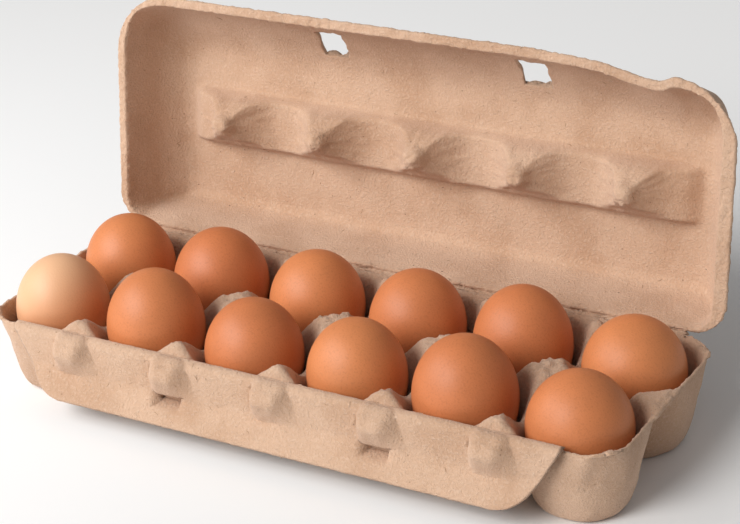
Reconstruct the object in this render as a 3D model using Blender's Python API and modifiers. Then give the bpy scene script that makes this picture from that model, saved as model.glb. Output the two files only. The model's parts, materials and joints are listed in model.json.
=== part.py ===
"""Moulded pulp carton for twelve eggs, standing open.

The carton is one pulp moulding with two living hinges, so its three stiff pieces are the
tray, the lid and the front locking flap. The twelve eggs lift out of their pots.
Lengths are in metres, +Z is up, +X runs along the carton and -Y is its front.
"""
import math

import bmesh
import bpy
import numpy as np
from mathutils import Matrix, Vector

MM = 0.001

# ---- driving dimensions ------------------------------------------------------------------
EGG_DIAMETER = 42.4 * MM         # nominal egg, across its widest ring
EGG_HEIGHT = 54.0 * MM           # nominal egg, standing on its pointed end
EGG_BLUNT = 0.44                 # share of its height above the widest ring
EGG_SLIM = 0.10                  # narrowing of its pointed end
EGG_GAP = 6.6 * MM               # between two neighbouring nominal eggs, along the carton
ROW_GAP = 6.4 * MM               # between the two rows
POTS_LONG = 6                    # pots in each row

PULP = 1.5 * MM                  # wall of the moulded pulp
TOUCH_GAP = 0.3 * MM             # between an egg and the pot floor

RIM_SHARE = 0.65185              # tray rim above the table, share of the egg's height
SADDLE_SHARE = 0.51296           # underside of the ridge between two pots, the same share
POST_RISE = 4.8 * MM             # posts above the tray rim
PEAK_SETBACK = 2.6 * MM          # front peaks, from the tray's front edge to their foot
PEAK_SLOPE = 1.4                 # and their rise per length
END_SHELF = 14.0 * MM            # low land inside the tray's ends
END_SHELF_SLOPE = 0.5            # its rise per length
END_SHELF_RISE = 1.2 * MM        # and its greatest rise
BACK_SHELF = 6.0 * MM            # low land inside the hinge land
BACK_SHELF_SLOPE = 0.3
FOOT_RADIUS = 16.0 * MM          # flat foot under each pot
END_MARGIN = 3.8 * MM            # from the last egg to the tray's end, rim included
FRONT_MARGIN = 2.6 * MM          # from the front eggs to the tray's front edge
BACK_MARGIN = 3.0 * MM           # from the back eggs to the hinge land
HINGE_LAND = 3.6 * MM            # flat land along the back edge
TRAY_FRONT_CORNER = 15.0 * MM    # corner radii in plan
TRAY_BACK_CORNER = 17.0 * MM

HINGE_GAP = 0.9 * MM             # from a moulding's edge to its folding line
LID_LIFT = 0.8 * MM              # closed lid rim above the tray rim
LID_MARGIN = 1.5 * MM            # lid longer than the tray, at each end
HEADROOM = 8.4 * MM              # nominal egg's top to the inside of the closed lid
LID_FLANGE = 2.0 * MM            # flat rolled rim around the lid
LID_FRONT_CORNER = 27.0 * MM     # lid corner radii in plan
LID_BACK_CORNER = 13.0 * MM
LID_OPEN = 98.8                  # degrees that the lid stands open
BAND_RISE = 7.0 * MM             # raised band inside the lid, proud of the panel
BAND_SLOPE = 4.0 * MM            # its sloping sides, in plan
BAND_BELOW = 14.0 * MM           # from the knobs to its side at the hinge
BAND_ABOVE = 13.0 * MM           # and to its other side
BAND_OVERHANG = 0.58             # band past the last knob, in pot pitches
KNOB_GAP = 1.0 * MM              # lid knobs above the posts when the lid is closed
KNOB_RADIUS = 4.0 * MM
KNOB_OFFSET = 4.0 * MM           # knobs nearer the hinge than the tray's middle line
KNOB_FOOT_BELOW = (0.42, 10.0 * MM)  # reach of a knob's flanks: in pot pitches, and across
KNOB_FOOT_ABOVE = (0.46, 13.0 * MM)
KNOB_POWER = 1.25                # hollowing of the flanks
HOLE_WIDTH = 14.0 * MM           # latch holes, along the carton
HOLE_START = 15.2 * MM           # latch holes, depth below the rim where they start
HOLE_END = 24.8 * MM             # and where they end

FLAP_WALL_GAP = 1.0 * MM         # folded flap to the lid's front wall, at the fold
FLAP_UPPER = 15.0 * MM           # flap from the fold to its bend
FLAP_LOWER = 13.5 * MM           # flap from its bend to its free edge
FLAP_HANG = 4.0                  # degrees, upper part out from the vertical
FLAP_BEND = 28.0                 # degrees, lower part out from the upper part
FLAP_MARGIN = 20.0 * MM          # tray's end to the flap's corner, along the fold
FLAP_TAPER = 0.58                # narrowing of each side per length
FLAP_CORNER = 9.0 * MM
FLAP_FIRST = 0.7 * MM            # from the fold to the stiff flap's first edge
FLAP_STILL = 8.0 * MM            # narrowing starts this far inside the last wedge's middle
WEDGE_HEIGHT = 4.6 * MM          # wedges on the flap, proud of it
WEDGE_SPAN = (2.0 * MM, 6.0 * MM, FLAP_UPPER)    # start, crest and end, from the fold
WEDGE_CREST = 5.0 * MM           # half width of the crest
WEDGE_FOOT = (10.0 * MM, 16.0 * MM)  # half width of the foot at the start and at the end
BUTTON_DEPTH = 4.6 * MM          # lock buttons, pushed through to the back
BUTTON_WIDTH = 10.6 * MM
BUTTON_FLANK = 1.5 * MM
BUTTON_SPAN = (15.2 * MM, 17.0 * MM, 18.5 * MM, 22.5 * MM)  # start, floor and end, from the fold

# Each egg's own diameter and height, as differences from the nominal egg, left to right.
FRONT_EGGS = ((-1.0, 0.5), (0.0, 3.0), (-0.4, -1.0), (-0.7, 0.0), (0.7, 3.0), (0.5, -1.8))
BACK_EGGS = ((-1.4, -1.6), (0.2, 0.4), (-0.5, -1.2), (-0.6, -0.8), (-0.6, 1.6), (0.7, -2.2))

# ---- sizes that follow --------------------------------------------------------------------
PITCH = EGG_DIAMETER + EGG_GAP
ROW_PITCH = EGG_DIAMETER + ROW_GAP
POT_X = [(i - (POTS_LONG - 1) / 2) * PITCH for i in range(POTS_LONG)]
POST_X = [(i - (POTS_LONG - 2) / 2) * PITCH for i in range(POTS_LONG - 1)]
TRAY_HALF = POT_X[-1] + EGG_DIAMETER / 2 + END_MARGIN
TRAY_FRONT = -(ROW_PITCH + EGG_DIAMETER) / 2 - FRONT_MARGIN
LAND_Y = (ROW_PITCH + EGG_DIAMETER) / 2 + BACK_MARGIN
TRAY_BACK = LAND_Y + HINGE_LAND
RIM_HEIGHT = RIM_SHARE * EGG_HEIGHT
SADDLE = SADDLE_SHARE * EGG_HEIGHT
EGG_BASE = PULP + TOUCH_GAP
POST_TOP = RIM_HEIGHT + POST_RISE

HINGE_Y = TRAY_BACK + HINGE_GAP
HINGE_Z = RIM_HEIGHT + LID_LIFT
FOLD_Y = TRAY_FRONT - HINGE_GAP - PULP / 2
FOLD_Z = RIM_HEIGHT

LID_HALF = TRAY_HALF + LID_MARGIN
LID_INNER = HINGE_Y - FOLD_Y + PULP / 2 + FLAP_WALL_GAP
LID_WIDTH = LID_INNER + LID_FLANGE
LID_DEPTH = EGG_BASE + EGG_HEIGHT + HEADROOM - HINGE_Z
KNOB_DEPTH = POST_TOP + KNOB_GAP - HINGE_Z
KNOB_V = HINGE_Y - KNOB_OFFSET
BUTTON_X = (POST_X[1], POST_X[-2])

# ---- shape curves, as pairs of (way across, way down or up) ---------------------------------
POT_CURVE = ((0.0, 0.0), (0.27, 0.07), (0.53, 0.31), (0.80, 0.80), (1.0, 1.0))
RIM_CURVE = ((0.0, 0.0), (0.30, 0.05), (0.60, 0.25), (0.89, 0.64), (1.0, 1.0))
POST_CURVE = ((0.0, 0.0), (0.5, 0.6), (1.0, 1.0))
POST_SPREAD = 5.0 * MM           # wall above the saddle to the post's top, in plan
LID_END_CURVE = ((0.0, 0.0), (3.2, 0.32), (6.5, 0.64), (11.0, 0.85), (15.0, 0.96), (19.0, 1.0))
LID_FRONT_CURVE = ((0.0, 0.0), (2.2, 0.35), (6.1, 0.57), (12.0, 0.76), (18.0, 0.90),
                   (24.0, 0.98), (29.0, 1.0))
LID_BACK_CURVE = ((0.0, 0.0), (2.2, 0.35), (4.4, 0.78), (6.6, 0.95), (10.0, 1.0))


def curve(points, t, scale=1.0):
    """The second value of a shape curve at t, its first values multiplied by scale."""
    return float(np.interp(t, [p[0] * scale for p in points], [p[1] for p in points]))


# ---- objects ------------------------------------------------------------------------------
def clear_scene():
    for obj in list(bpy.data.objects):
        bpy.data.objects.remove(obj, do_unlink=True)


def new_collection(name):
    coll = bpy.data.collections.new(name)
    bpy.context.scene.collection.children.link(coll)
    return coll


def material(name, rgb, roughness):
    mat = bpy.data.materials.new(name)
    mat.use_nodes = True
    shader = mat.node_tree.nodes["Principled BSDF"]
    shader.inputs["Base Color"].default_value = (*rgb, 1.0)
    shader.inputs["Roughness"].default_value = roughness
    shader.inputs["Metallic"].default_value = 0.0
    return mat


def add_object(name, bm, coll, mat, parent):
    mesh = bpy.data.meshes.new(name)
    bm.to_mesh(mesh)
    bm.free()
    mesh.materials.append(mat)
    obj = bpy.data.objects.new(name, mesh)
    coll.objects.link(obj)
    obj.parent = parent
    return obj


def add_empty(name, coll, parent, location):
    empty = bpy.data.objects.new(name, None)
    empty.location = location
    empty.parent = parent
    coll.objects.link(empty)
    return empty


def sheet(xs, ys, place):
    """A grid with its lines at xs and ys, each point moved to place(x, y)."""
    bm = bmesh.new()
    bmesh.ops.create_grid(bm, x_segments=len(xs) - 1, y_segments=len(ys) - 1, size=0.5)
    for vert in bm.verts:
        i = round((vert.co.x + 0.5) * (len(xs) - 1))
        j = round((vert.co.y + 0.5) * (len(ys) - 1))
        vert.co = place(xs[i], ys[j])
    return bm


def thicken(obj, thickness, offset):
    """Give an open pulp sheet its wall; offset 1 builds outward from the sheet's normals."""
    shell = obj.modifiers.new("pulp wall", "SOLIDIFY")
    shell.thickness = thickness
    shell.offset = offset
    shell.use_even_offset = False
    shell.use_rim = True


def round_corner(x, y, radius, x_edge, y_edge):
    """Move a point of a square corner onto a corner of the given radius."""
    p = abs(x) - (x_edge - radius)
    q = abs(y) - (y_edge - radius)
    if p <= 0.0 or q <= 0.0:
        return x, y
    pull = max(p, q) / math.hypot(p, q)
    return (math.copysign(x_edge - radius + p * pull, x),
            math.copysign(y_edge - radius + q * pull, y))


# ---- tray ---------------------------------------------------------------------------------
def pot_lines(centre, low, high):
    """Grid lines across one pot whose walls end at low and high."""
    inner = 0.7 * FOOT_RADIUS
    lines = [low]
    for edge, share in ((low, 0.80), (low, 0.50), (low, 0.12)):
        lines.append(centre - FOOT_RADIUS + (edge - centre + FOOT_RADIUS) * share)
    lines += [centre - inner, centre, centre + inner]
    for edge, share in ((high, 0.12), (high, 0.50), (high, 0.80)):
        lines.append(centre + FOOT_RADIUS + (edge - centre - FOOT_RADIUS) * share)
    return lines


def pot_height(reach):
    """Height of the tray's underside at this distance from a pot's axis."""
    half = PITCH / 2
    if reach <= half:
        return SADDLE * curve(POT_CURVE, (reach - FOOT_RADIUS) / (half - FOOT_RADIUS))
    top = POST_TOP - PULP
    return SADDLE + (top - SADDLE) * curve(POST_CURVE, (reach - half) / POST_SPREAD)


def outer_reach(offset, edge, rim):
    """The distance at which pot_height gives the tray's outer wall, which ends at edge."""
    if abs(offset) <= FOOT_RADIUS:
        return abs(offset)
    height = rim * curve(RIM_CURVE, (abs(offset) - FOOT_RADIUS) / (edge - FOOT_RADIUS))
    reaches = np.linspace(FOOT_RADIUS, PITCH / 2 + POST_SPREAD, 60)
    return float(np.interp(height, [pot_height(r) for r in reaches], reaches))


def tray_height(x, y):
    """Height of the tray's underside, its outline not yet rounded."""
    rim = RIM_HEIGHT - PULP
    if y > LAND_Y - 0.01 * MM:
        return rim
    pot_x = min(POT_X, key=lambda c: abs(c - x))
    pot_y = math.copysign(ROW_PITCH / 2, y if y else 1.0)
    dx, dy = x - pot_x, y - pot_y
    at_end = abs(pot_x) > POT_X[-1] - MM and dx * pot_x > 0
    to_edge = dy * pot_y > 0
    reach_x = abs(dx)
    reach_y = abs(dy) * PITCH / ROW_PITCH
    if at_end:
        reach_x = outer_reach(dx, TRAY_HALF - POT_X[-1], rim)
    if to_edge:
        reach_y = outer_reach(dy, (LAND_Y if pot_y > 0 else -TRAY_FRONT) - ROW_PITCH / 2, rim)
    power = 2.8 if at_end and to_edge else 2.0
    reach = (reach_x ** power + reach_y ** power) ** (1 / power)
    to_front = y - TRAY_FRONT
    to_back = LAND_Y - y
    to_end = TRAY_HALF - abs(x)
    cap = rim + min(PEAK_SLOPE * max(0.0, to_front - PEAK_SETBACK), POST_RISE)
    if to_end < END_SHELF:
        cap = min(cap, rim + min(END_SHELF_SLOPE * to_end, END_SHELF_RISE))
    if to_back < BACK_SHELF:
        cap = min(cap, rim + BACK_SHELF_SLOPE * to_back)
    return min(pot_height(reach), cap)


def tray_point(x, y):
    z = tray_height(x, y)
    if y < 0.0:
        x, y = round_corner(x, y, TRAY_FRONT_CORNER, TRAY_HALF, -TRAY_FRONT)
    else:
        x, y = round_corner(x, y, TRAY_BACK_CORNER, TRAY_HALF, TRAY_BACK)
    return Vector((x, y, z))


def make_tray(coll, mat, parent):
    xs = []
    for i, centre in enumerate(POT_X):
        low = -TRAY_HALF if i == 0 else centre - PITCH / 2
        high = TRAY_HALF if i == POTS_LONG - 1 else centre + PITCH / 2
        xs += pot_lines(centre, low, high)
    xs.append(TRAY_HALF)
    ys = pot_lines(-ROW_PITCH / 2, TRAY_FRONT, 0.0) + pot_lines(ROW_PITCH / 2, 0.0, LAND_Y)
    ys += [LAND_Y, TRAY_BACK]
    tray = add_object("tray", sheet(xs, ys, tray_point), coll, mat, parent)
    thicken(tray, PULP, 1.0)
    return tray


# ---- lid ----------------------------------------------------------------------------------
def relief(x, v):
    """Height of the raised band and its five knobs over the lid's panel."""
    band_end = POST_X[-1] + BAND_OVERHANG * PITCH
    inside = min(v - KNOB_V + BAND_BELOW, KNOB_V + BAND_ABOVE - v, band_end - abs(x)) / BAND_SLOPE
    if inside <= 0.0:
        return 0.0
    band = BAND_RISE * min(1.0, inside)
    knob_x = min(POST_X, key=lambda c: abs(c - x))
    pitches, across = KNOB_FOOT_BELOW if v < KNOB_V else KNOB_FOOT_ABOVE
    away = math.hypot(max(0.0, abs(x - knob_x) - KNOB_RADIUS) / (pitches * PITCH),
                      max(0.0, abs(v - KNOB_V) - KNOB_RADIUS) / across)
    peak = LID_DEPTH - PULP - KNOB_DEPTH - BAND_RISE
    return band + peak * max(0.0, 1.0 - away) ** KNOB_POWER


def lid_depth(x, v):
    """Depth of the lid's inner face behind its rim, its outline not yet rounded."""
    full = LID_DEPTH
    end = full * curve(LID_END_CURVE, LID_HALF - LID_FLANGE - abs(x), MM)
    front = full * curve(LID_FRONT_CURVE, LID_INNER - v, MM)
    back = full * curve(LID_BACK_CURVE, v - 2 * HINGE_GAP, MM)
    return min(end, front, back) - relief(x, v)


def lid_place(x, v):
    """A point of the lid in its own frame: folding line at y 0, rim at z 0, panel below."""
    depth = lid_depth(x, v)
    middle = (LID_WIDTH + HINGE_GAP) / 2
    half = (LID_WIDTH - HINGE_GAP) / 2
    radius = LID_FRONT_CORNER if v > middle else LID_BACK_CORNER
    x, y = round_corner(x, v - middle, radius, LID_HALF, half)
    return Vector((x, y + middle, -depth))


def lid_lines():
    xs = [0.0]
    for post in POST_X:
        if post > -MM:
            xs += [post + KNOB_RADIUS, post + 3 * KNOB_RADIUS, post + PITCH / 2,
                   post + PITCH - 3 * KNOB_RADIUS, post + PITCH - KNOB_RADIUS, post + PITCH]
    top = LID_HALF - LID_FLANGE
    ends = [top - p[0] * MM for p in LID_END_CURVE]
    xs = [x for x in xs if x < min(ends) - 2.0 * MM] + ends + [LID_HALF]
    xs = sorted({round(x, 7) for x in xs} | {round(-x, 7) for x in xs})
    low, high = KNOB_V - BAND_BELOW, KNOB_V + BAND_ABOVE
    vs = [HINGE_GAP] + [2 * HINGE_GAP + p[0] * MM for p in LID_BACK_CURVE]
    vs += [low - 10.0 * MM, low, low + BAND_SLOPE, KNOB_V - KNOB_RADIUS, KNOB_V,
           KNOB_V + KNOB_RADIUS, high - BAND_SLOPE, high]
    vs += [LID_INNER - p[0] * MM for p in LID_FRONT_CURVE] + [LID_WIDTH]
    return xs, sorted(vs)


def make_lid(coll, cutters, mat, parent):
    xs, vs = lid_lines()
    bm = sheet(xs, vs, lid_place)
    lid = add_object("lid", bm, coll, mat, parent)
    thicken(lid, PULP, -1.0)
    for i, x in enumerate(BUTTON_X):
        cut = bmesh.new()
        size = (HOLE_WIDTH, 40 * MM, HOLE_END - HOLE_START)
        at = (x, LID_INNER, -(HOLE_START + HOLE_END) / 2)
        bmesh.ops.create_cube(cut, size=1.0, matrix=Matrix.Translation(at) @ Matrix.Diagonal((*size, 1)))
        cutter = add_object(f"latch_hole_cutter_{i + 1}", cut, cutters, mat, parent)
        cutter.hide_render = True
        cutter.display_type = "WIRE"
        hole = lid.modifiers.new(f"latch hole {i + 1}", "BOOLEAN")
        hole.operation = "DIFFERENCE"
        hole.solver = "EXACT"
        hole.object = cutter
    return lid


# ---- front flap ---------------------------------------------------------------------------
def flap_relief(x, s):
    """How far the flap's middle surface stands proud of its plain sheet."""
    post = min(POST_X, key=lambda c: abs(c - x))
    aside = abs(x - post)
    rise = float(np.interp(s, WEDGE_SPAN, (0.0, WEDGE_HEIGHT, 0.0)))
    foot = float(np.interp(s, (WEDGE_SPAN[0], WEDGE_SPAN[-1]), WEDGE_FOOT))
    out = rise * float(np.interp(aside, (WEDGE_CREST, foot), (1.0, 0.0)))
    if min(abs(post - b) for b in BUTTON_X) < MM:
        half = BUTTON_WIDTH / 2
        flank = float(np.interp(aside, (half, half + BUTTON_FLANK), (1.0, 0.0)))
        dip = float(np.interp(s, BUTTON_SPAN, (0.0, 1.0, 1.0, 0.0)))
        out -= BUTTON_DEPTH * dip * flank
    return out


def flap_half(s):
    """Half width of the flap at a distance s from the fold."""
    length = FLAP_UPPER + FLAP_LOWER
    half = TRAY_HALF - FLAP_MARGIN - FLAP_TAPER * s
    low = s - (length - FLAP_CORNER)
    if low > 0.0:
        half -= FLAP_CORNER - math.sqrt(max(0.0, FLAP_CORNER ** 2 - low ** 2))
    return half


def flap_place(u, s):
    """A point of the hanging flap about its fold; u is -1 to 1 across the flap."""
    edge = TRAY_HALF - FLAP_MARGIN
    fixed = POST_X[-1] - FLAP_STILL
    x = u * edge
    if abs(x) > fixed:
        share = (abs(x) - fixed) / (edge - fixed)
        x = math.copysign(fixed + share * (flap_half(s) - fixed), x)
    upper, lower = math.radians(FLAP_HANG), math.radians(FLAP_HANG + FLAP_BEND)
    a, b = min(s, FLAP_UPPER), max(0.0, s - FLAP_UPPER)
    y = -a * math.sin(upper) - b * math.sin(lower)
    z = -a * math.cos(upper) - b * math.cos(lower)
    turn = upper if s <= FLAP_UPPER else lower
    out = flap_relief(x, s)
    return Vector((x, y - out * math.cos(turn), z + out * math.sin(turn)))


def make_flap(coll, mat, parent):
    edge = TRAY_HALF - FLAP_MARGIN
    lines = [-edge]
    half = BUTTON_WIDTH / 2
    for post in POST_X:
        for aside in (sum(WEDGE_FOOT) / 2, half + BUTTON_FLANK + 0.7 * MM, half + 0.7 * MM):
            lines += [post - aside, post + aside]
    lines.append(edge)
    lines.sort()
    length = FLAP_UPPER + FLAP_LOWER
    ss = [FLAP_FIRST, *WEDGE_SPAN[:2], (WEDGE_SPAN[1] + WEDGE_SPAN[2]) / 2, FLAP_UPPER, *BUTTON_SPAN[1:]]
    ss += [length - 0.35 * FLAP_CORNER, length - 0.1 * FLAP_CORNER, length]
    bm = sheet([x / edge for x in lines], sorted(ss, reverse=True), flap_place)
    flap = add_object("front_flap", bm, coll, mat, parent)
    thicken(flap, PULP, 0.0)
    return flap


# ---- eggs ---------------------------------------------------------------------------------
def make_egg(name, coll, mat, parent, location, diameter, height):
    """An egg standing on its pointed end, its origin at its lowest point."""
    blunt = EGG_BLUNT * height
    point = height - blunt
    bm = bmesh.new()
    bmesh.ops.create_uvsphere(bm, u_segments=14, v_segments=9, radius=1.0)
    for vert in bm.verts:
        z = vert.co.z
        slim = 1.0 if z >= 0.0 else 1.0 - EGG_SLIM * z * z
        vert.co.x *= slim * diameter / 2
        vert.co.y *= slim * diameter / 2
        vert.co.z = point + z * (blunt if z >= 0.0 else point)
    egg = add_object(name, bm, coll, mat, parent)
    egg.location = location
    egg.data.shade_smooth()
    return egg


# ---- assembly -----------------------------------------------------------------------------
def centre_over_footprint(root, objects):
    """Move the root so that the whole carton's box is centred on the origin in X and Y."""
    bpy.context.view_layer.update()
    graph = bpy.context.evaluated_depsgraph_get()
    points = []
    for obj in objects:
        shape = obj.evaluated_get(graph)
        points += [shape.matrix_world @ vert.co for vert in shape.data.vertices]
    for axis in (0, 1):
        values = [p[axis] for p in points]
        root.location[axis] = -round((min(values) + max(values)) / 2, 4)
    bpy.context.view_layer.update()


def main():
    clear_scene()
    coll = new_collection("egg_carton")
    cutters = new_collection("egg_carton_cutters")
    pulp = material("moulded_pulp", (0.72, 0.50, 0.34), 0.9)
    shell = material("brown_eggshell", (0.61, 0.17, 0.052), 0.5)

    root = add_empty("carton_frame", coll, None, (0, 0, 0))
    hinge = add_empty("lid_hinge_line", coll, root, (0, HINGE_Y, HINGE_Z))
    hinge.rotation_euler = (math.radians(180.0 - LID_OPEN), 0, 0)
    fold = add_empty("flap_fold_line", coll, root, (0, FOLD_Y, FOLD_Z))

    parts = [make_tray(coll, pulp, root),
             make_lid(coll, cutters, pulp, hinge),
             make_flap(coll, pulp, fold)]
    for row, y, sizes in (("front", -ROW_PITCH / 2, FRONT_EGGS), ("back", ROW_PITCH / 2, BACK_EGGS)):
        for i, (wider, taller) in enumerate(sizes):
            parts.append(make_egg(f"egg_{row}_{i + 1}", coll, shell, root, (POT_X[i], y, EGG_BASE),
                                  EGG_DIAMETER + wider * MM, EGG_HEIGHT + taller * MM))
    centre_over_footprint(root, parts)


main()
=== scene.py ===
"""An open moulded pulp carton with its twelve brown eggs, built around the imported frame.

The tray, the lid and the front flap are dense pulp shells on the frame's own sizes, each crease is
part of the piece that folds, and the eggs are turned by a node tree. Lengths are in metres.
"""
import json
import math

import bmesh
import bpy
import numpy as np
from bpy.props import FloatProperty, FloatVectorProperty, IntProperty, PointerProperty
from mathutils import Matrix, Vector, noise


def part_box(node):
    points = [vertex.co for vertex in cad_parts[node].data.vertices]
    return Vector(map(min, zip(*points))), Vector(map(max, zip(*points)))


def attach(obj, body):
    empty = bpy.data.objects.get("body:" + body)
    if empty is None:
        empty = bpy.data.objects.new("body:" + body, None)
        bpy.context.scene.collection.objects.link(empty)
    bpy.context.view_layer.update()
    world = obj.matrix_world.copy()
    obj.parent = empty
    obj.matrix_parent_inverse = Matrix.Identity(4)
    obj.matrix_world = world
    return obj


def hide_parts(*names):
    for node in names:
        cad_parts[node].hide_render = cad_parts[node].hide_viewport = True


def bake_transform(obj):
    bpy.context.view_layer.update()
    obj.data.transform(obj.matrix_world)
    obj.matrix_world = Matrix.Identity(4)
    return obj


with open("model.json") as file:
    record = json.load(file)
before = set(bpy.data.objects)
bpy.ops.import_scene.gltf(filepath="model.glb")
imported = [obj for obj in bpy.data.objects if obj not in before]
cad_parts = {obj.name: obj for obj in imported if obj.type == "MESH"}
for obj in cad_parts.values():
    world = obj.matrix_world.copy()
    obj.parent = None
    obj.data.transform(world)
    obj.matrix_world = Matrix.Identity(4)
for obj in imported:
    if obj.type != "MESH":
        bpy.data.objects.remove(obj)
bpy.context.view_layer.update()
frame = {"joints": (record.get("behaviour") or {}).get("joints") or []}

bl_info = {
    "name": "Pulp Egg Carton",
    "version": (1, 0, 0),
    "blender": (4, 5, 0),
    "location": "View3D > Sidebar > Egg Carton",
    "description": "Builds an open moulded pulp carton with twelve brown eggs",
    "category": "Object",
}

MM = 0.001


def linear(code):
    """An sRGB hex colour as linear red, green and blue."""
    parts = [int(code[i:i + 2], 16) / 255 for i in (1, 3, 5)]
    return [c / 12.92 if c <= 0.04045 else ((c + 0.055) / 1.055) ** 2.4 for c in parts]


# ---- sizes that the frame gives --------------------------------------------------------------------
def joint(name):
    """The frame's row for this joint."""
    return next(j for j in frame["joints"] if j["name"] == name)


HINGE_Y, HINGE_Z = joint("lid_hinge")["pos_m"][1:]
FOLD_Y, FOLD_Z = joint("flap_hinge")["pos_m"][1:]
LID_LEAN = math.radians(-joint("lid_hinge")["range_deg"][0] - 90.0)
EGG_NAMES = [f"egg_{row}_{i}" for row in ("front", "back") for i in range(1, 7)]
EGG_BOXES = {name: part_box(name) for name in EGG_NAMES}


def middle(name, axis):
    """Middle of an egg's box along this axis."""
    return (EGG_BOXES[name][0][axis] + EGG_BOXES[name][1][axis]) / 2


PITCH = (middle("egg_front_6", 0) - middle("egg_front_1", 0)) / 5
ROW_PITCH = middle("egg_back_1", 1) - middle("egg_front_1", 1)
CENTRE_Y = middle("egg_front_1", 1) + ROW_PITCH / 2
POT_X = np.array([(i - 2.5) * PITCH for i in range(6)])
POST_X = np.array([(i - 2.0) * PITCH for i in range(5)])

PULP = 1.5 * MM              # wall of the moulded pulp
HINGE_GAP = 0.9 * MM         # from a moulding's edge to its folding line

RIM_HEIGHT = FOLD_Z
POST_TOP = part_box("tray")[1][2]
FOOT_RADIUS = 16.0 * MM      # flat foot under each pot
SADDLE_DROP = 6.0 * MM       # ridge between two pots, under the tray's rim
SADDLE = RIM_HEIGHT - SADDLE_DROP - PULP
HINGE_LAND = 3.6 * MM        # flat land along the back edge
TRAY_HALF = 147.5 * MM
TRAY_BACK = HINGE_Y - HINGE_GAP
LAND_Y = TRAY_BACK - HINGE_LAND
TRAY_FRONT = FOLD_Y + HINGE_GAP + PULP / 2

RIM_ROOM = 1.2 * MM          # kept free inside the frame's lid for the torn rim
LID_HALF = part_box("lid")[1][0] - RIM_ROOM
HINGE_HALF = 132.5 * MM      # straight part of the hinge line
WALL_GAP = 1.0 * MM          # folded flap to the lid's front wall
LID_INNER = HINGE_Y - FOLD_Y + PULP / 2 + WALL_GAP
LID_WIDTH = LID_INNER + RIM_ROOM
LID_DEPTH = 28.2 * MM
KNOB_OFFSET = 4.0 * MM       # knobs nearer the hinge than the tray's middle line
KNOB_V = HINGE_Y - CENTRE_Y - KNOB_OFFSET
KNOB_DEPTH = 7.8 * MM        # knobs' tops, below the lid's rim
KNOB_RISE = LID_DEPTH - PULP - KNOB_DEPTH
KNOB_RADIUS = 4.0 * MM
BAND_RISE = 5.5 * MM         # pressed band, proud of the lid's panel
BAND_BELOW = 14 * MM         # from the knobs to the band's side at the hinge
BAND_ABOVE = 13 * MM         # and to its other side


# ---- what a user can set ---------------------------------------------------------------------------
class CartonSizes(bpy.types.PropertyGroup):
    grid: FloatProperty(name="Grid", description="Spacing of the pulp shells' points",
                        default=1.15 * MM, unit="LENGTH")
    fuzz: FloatProperty(name="Fuzz", description="Height of the pulp's fine lumps",
                        default=0.16 * MM, unit="LENGTH")
    rim_fuzz: FloatProperty(name="Rim fuzz", description="Height of the torn edges' lumps",
                            default=0.55 * MM, unit="LENGTH")
    fibres: IntProperty(name="Fibres", description="Loose fibres on each pulp shell", default=700)
    fibre_length: FloatProperty(name="Fibre length", description="Length of a loose fibre",
                                default=2.2 * MM, unit="LENGTH")
    blunt_share: FloatProperty(name="Blunt share", description="Egg's blunt end, share of its height",
                               default=0.44, subtype="FACTOR")


class CartonColours(bpy.types.PropertyGroup):
    pulp: FloatVectorProperty(name="Pulp", description="Body of the dry pulp", subtype="COLOR",
                              default=linear("#D3AF93"))
    pulp_pale: FloatVectorProperty(name="Pale pulp", description="Worn, dusty high spots",
                                   subtype="COLOR", default=linear("#E6CBB4"))
    pulp_deep: FloatVectorProperty(name="Deep pulp", description="Denser pulp in the hollows",
                                   subtype="COLOR", default=linear("#BC9374"))
    shell: FloatVectorProperty(name="Shell", description="Brown eggshell", subtype="COLOR",
                               default=linear("#C97A4B"))
    # colour of the painted highlight laid on the first front egg's upper left side
    shell_painted_highlight: FloatVectorProperty(name="Pale shell", description="Bloomy, paler eggshell",
                                    subtype="COLOR", default=linear("#E6B68E"))


# ---- numbers ---------------------------------------------------------------------------------------
def ease(points, t):
    """A smooth curve through (t, value) points that never overshoots them, flat past its ends."""
    xs, ys = np.array(points, float).T
    step = np.diff(xs)
    slope = np.diff(ys) / step
    turn = np.zeros(len(xs))
    same = slope[:-1] * slope[1:] > 0
    turn[1:-1][same] = 2 / (1 / slope[:-1][same] + 1 / slope[1:][same])
    turn[0], turn[-1] = slope[0], slope[-1]
    t = np.clip(t, xs[0], xs[-1])
    i = np.clip(np.searchsorted(xs, t) - 1, 0, len(xs) - 2)
    u = (t - xs[i]) / step[i]
    return (ys[i] * (1 + 2 * u) * (1 - u) ** 2 + ys[i + 1] * u * u * (3 - 2 * u)
            + step[i] * u * (1 - u) * (turn[i] * (1 - u) - turn[i + 1] * u))


def ramp(low, high, t):
    """0 before low, 1 after high, and a soft S between them; low may be the greater."""
    u = np.clip((t - low) / (high - low), 0, 1)
    return u * u * (3 - 2 * u)


def soft_min(a, b, width):
    """The lower of a and b, rounded where they cross."""
    h = np.clip(0.5 + (b - a) / (2 * width), 0, 1)
    return b + (a - b) * h - width * h * (1 - h)


def soft_max(a, b, width):
    """The higher of a and b, rounded where they cross."""
    return -soft_min(-a, -b, width)


def grain(points, size, seed):
    """Smooth noise of about this size at each point, between -1 and 1."""
    shift = np.array((seed * 7.31, seed * 3.77, seed * 5.13))
    return np.array([noise.noise(Vector(p)) for p in points / size + shift])


def lumpy(points, broad, narrow, share, seed):
    """Lumps of a broad size with a share of a narrow one on them."""
    return grain(points, broad, seed) + share * grain(points, narrow, seed + 1)


def spaced(low, high, pitch, tight=()):
    """Grid lines from low to high, closer inside the tight stretches (start, end, pitch)."""
    lines = [low]
    while lines[-1] < high:
        here = lines[-1]
        lines.append(here + min([pitch] + [p for a, b, p in tight if a <= here < b]))
    lines = np.array(lines)
    return low + (lines - low) * (high - low) / (lines[-1] - low)


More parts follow.
